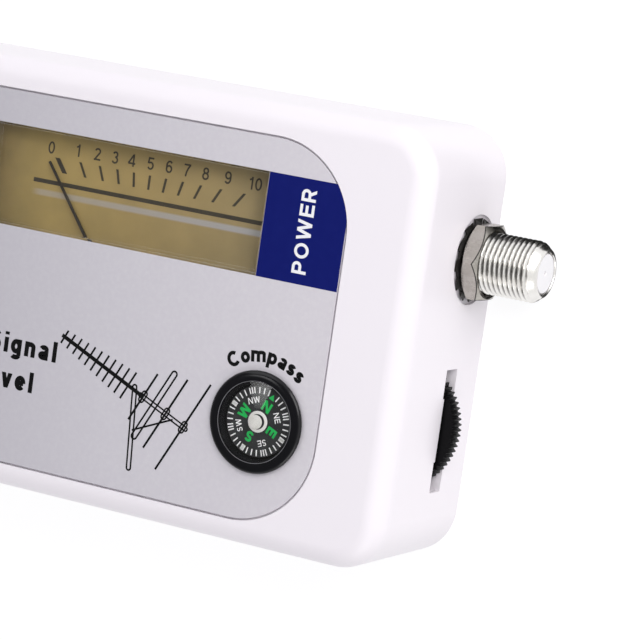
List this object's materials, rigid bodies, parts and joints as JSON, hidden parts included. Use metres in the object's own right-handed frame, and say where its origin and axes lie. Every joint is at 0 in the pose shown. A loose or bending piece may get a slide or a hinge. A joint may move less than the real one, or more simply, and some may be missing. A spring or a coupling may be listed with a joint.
{
  "type": "tv signal finder",
  "caption": "Handheld aerial signal finder: flat case with a moving-coil meter window, button compass, edge thumbwheel and threaded coaxial socket.",
  "frame": {"origin": "middle of the case's back face, on which the instrument lies", "axes": "+X to the end with the coaxial socket, +Y up the front label, +Z out of the label"},
  "size_m": [0.1319, 0.0664, 0.0284],
  "materials": {
    "white_case": "moulded ABS, satin gloss",
    "label": "printed polyester overlay",
    "clear": "clear acrylic, polished",
    "black_plastic": "moulded, dull",
    "black_gloss": "moulded, glossy",
    "white_plastic": "moulded",
    "dial": "printed sheet, dull",
    "pointer_black": "blackened",
    "iron": "plain",
    "steel": "zinc plated",
    "dark_steel": "oiled spring steel",
    "brass": "plain",
    "copper": "enamelled winding",
    "nickel": "nickel plated brass",
    "tin": "tinplate",
    "board": "solder resist",
    "track": "carbon track",
    "aluminium": "plain can",
    "battery": "printed metal jacket",
    "red_lead": "insulated wire",
    "black_lead": "insulated wire"
  },
  "bodies": {
    "case": {"front_shell": "white_case", "rear_cover": "white_case", "case_screw_1": "steel", "case_screw_2": "steel", "case_screw_3": "steel", "case_screw_4": "steel", "board_screw_1": "steel", "board_screw_2": "steel", "board_screw_3": "steel", "board_screw_4": "steel", "front_label": "label", "meter_window": "clear", "meter_tray": "black_plastic", "dial_plate": "dial", "dial_lamp_left": "white_plastic", "dial_lamp_right": "white_plastic", "meter_terminal_left": "tin", "meter_terminal_right": "tin", "core_magnet": "iron", "yoke_ring": "iron", "front_bridge": "brass", "rear_bridge": "brass", "compass_housing": "black_gloss", "compass_lens": "clear", "compass_pin": "steel", "control_body": "black_plastic", "resistor_track": "track", "socket_barrel": "nickel", "socket_insulator": "white_plastic", "socket_contact": "brass", "lock_washer": "dark_steel", "socket_nut": "nickel", "circuit_board": "board", "amplifier_can": "tin", "amplifier_lid": "tin", "amplifier_board": "board", "meter_driver_chip": "black_plastic", "voltage_regulator": "black_plastic", "capacitor_1": "aluminium", "capacitor_2": "aluminium", "battery": "battery", "battery_snap": "black_plastic", "lead_red": "red_lead", "lead_black": "black_lead"},
    "movement": {"moving_coil": "copper", "upper_stem": "steel", "lower_stem": "steel", "pointer": "pointer_black", "balance_weight": "brass", "hairspring": "brass"},
    "compass_rose": {"compass_card": "black_gloss", "compass_magnet": "steel", "compass_cap": "white_plastic"},
    "gain_wheel": {"thumbwheel": "black_plastic", "wiper": "brass", "wheel_screw": "steel"},
    "lid": {"battery_lid": "white_case"}
  },
  "joints": [
    {"name": "pointer_turn", "type": "hinge", "parent": "case", "child": "movement", "pos_m": [0.0109, -0.00365, 0.0165], "axis": [0, 0, -1], "range_deg": [0, 75], "stiffness_Nm_per_rad": 0.00002},
    {"name": "compass_card_turn", "type": "hinge", "parent": "case", "child": "compass_rose", "pos_m": [0.0375, -0.01405, 0.0262], "axis": [0, 0, 1], "continuous": true},
    {"name": "thumbwheel_turn", "type": "hinge", "parent": "case", "child": "gain_wheel", "pos_m": [0.05235, -0.0123, 0.0056], "axis": [0, 0, 1], "range_deg": [0, 270]},
    {"name": "battery_lid_slide", "type": "slide", "parent": "case", "child": "lid", "axis": [-1, 0, 0], "range_m": [0, 0.034]}
  ]
}
